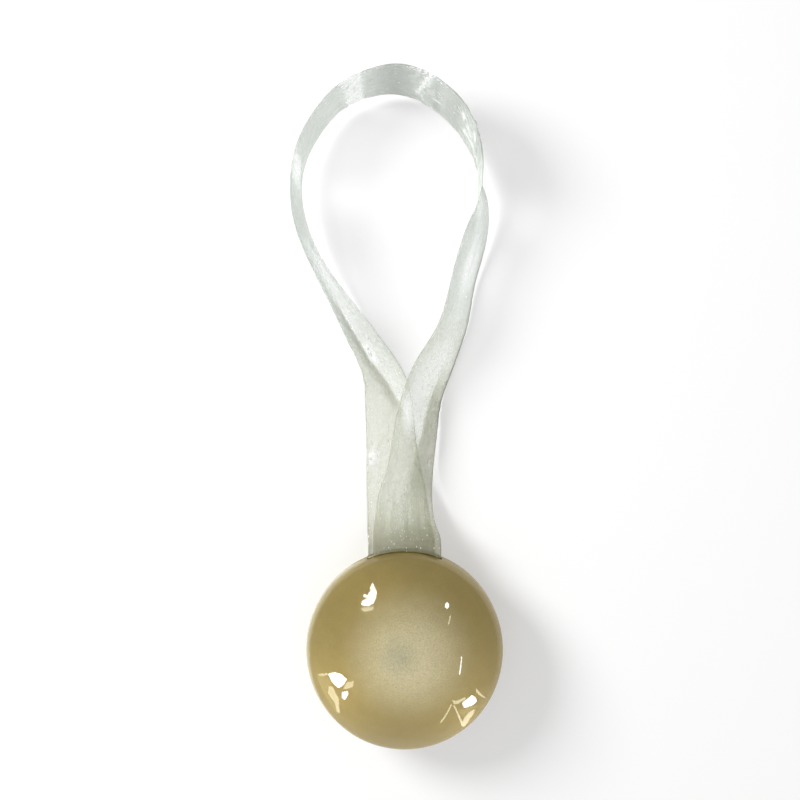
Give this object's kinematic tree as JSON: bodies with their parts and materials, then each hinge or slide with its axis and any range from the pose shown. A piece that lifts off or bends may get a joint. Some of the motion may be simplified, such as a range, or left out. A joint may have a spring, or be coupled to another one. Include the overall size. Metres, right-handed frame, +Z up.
{
  "type": "magnetic curtain tieback",
  "caption": "Magnetic curtain tieback: round domed clasp in champagne pearl plastic whose halves pull apart, joined by a looped sheer ribbon that gathers a curtain.",
  "frame": {"origin": "on the clasp's axis at the table, where the rear dome's crown touches it", "axes": "+Z up along the clasp's axis, from the rear dome to the front dome; +Y from the clasp to the far end of the ribbon loop"},
  "size_m": [0.0368, 0.1193, 0.018],
  "materials": {
    "pearl_shell": "champagne pearl, high gloss",
    "back_cover": "moulded, satin",
    "magnet": "nickel plated",
    "ribbon": "sheer organza with a faint shimmer"
  },
  "bodies": {
    "rear_half": {"rear_shell": "pearl_shell", "rear_cover": "back_cover", "rear_magnet": "magnet", "ribbon": "ribbon"},
    "front_half": {"front_shell": "pearl_shell", "front_cover": "back_cover", "front_magnet": "magnet"}
  },
  "joints": [
    {"name": "clasp_pull", "type": "slide", "parent": "rear_half", "child": "front_half", "axis": [0, 0, 1], "range_m": [0, 0.04], "deforming": ["ribbon"]}
  ]
}
